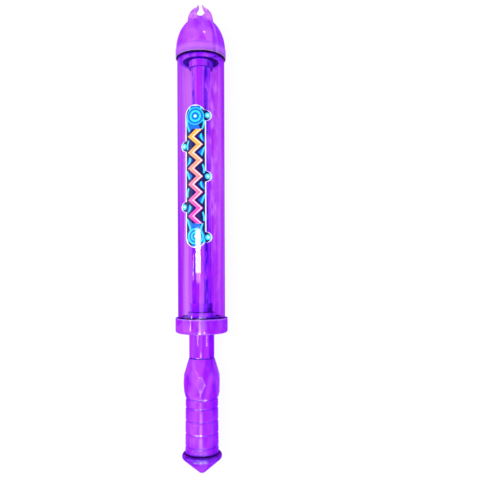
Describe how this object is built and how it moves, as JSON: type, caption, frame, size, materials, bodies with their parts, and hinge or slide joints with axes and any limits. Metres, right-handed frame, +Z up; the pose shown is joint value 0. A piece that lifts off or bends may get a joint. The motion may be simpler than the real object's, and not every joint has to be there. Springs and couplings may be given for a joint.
{
  "type": "water squirter",
  "caption": "Plunger water squirter: clear violet barrel with a bullet nose and keyhole nozzle tip, and a sliding plunger with a faceted, ringed grip and pointed pommel.",
  "frame": {"origin": "middle of the part's length, on the surface that it lies on, below the barrel's axis", "axes": "+X along the barrel's axis, the way the jet leaves; +Z up, out of the side that carries the label"},
  "size_m": [0.4482, 0.05, 0.05],
  "materials": {
    "clear_violet": "clear tinted",
    "cap_violet": "translucent gloss",
    "grip_violet": "translucent gloss",
    "seal": "satin",
    "label_print": "printed vinyl"
  },
  "bodies": {
    "barrel": {"barrel_tube": "clear_violet", "nose_cap": "cap_violet", "nozzle_tip": "clear_violet", "end_collar": "cap_violet", "guide_sleeve": "clear_violet", "stop_bumper": "seal", "label": "label_print"},
    "seal": {"piston_ring": "seal"},
    "plunger": {"piston": "cap_violet", "plunger_rod": "clear_violet", "grip": "grip_violet", "pommel_plug": "grip_violet"}
  },
  "joints": [
    {"name": "plunger_slide", "type": "slide", "parent": "barrel", "child": "seal", "axis": [-1, 0, 0], "range_m": [0, 0.22]},
    {"name": "plunger_twist", "type": "hinge", "parent": "seal", "child": "plunger", "pos_m": [0, 0, 0.025], "axis": [1, 0, 0], "continuous": true}
  ]
}
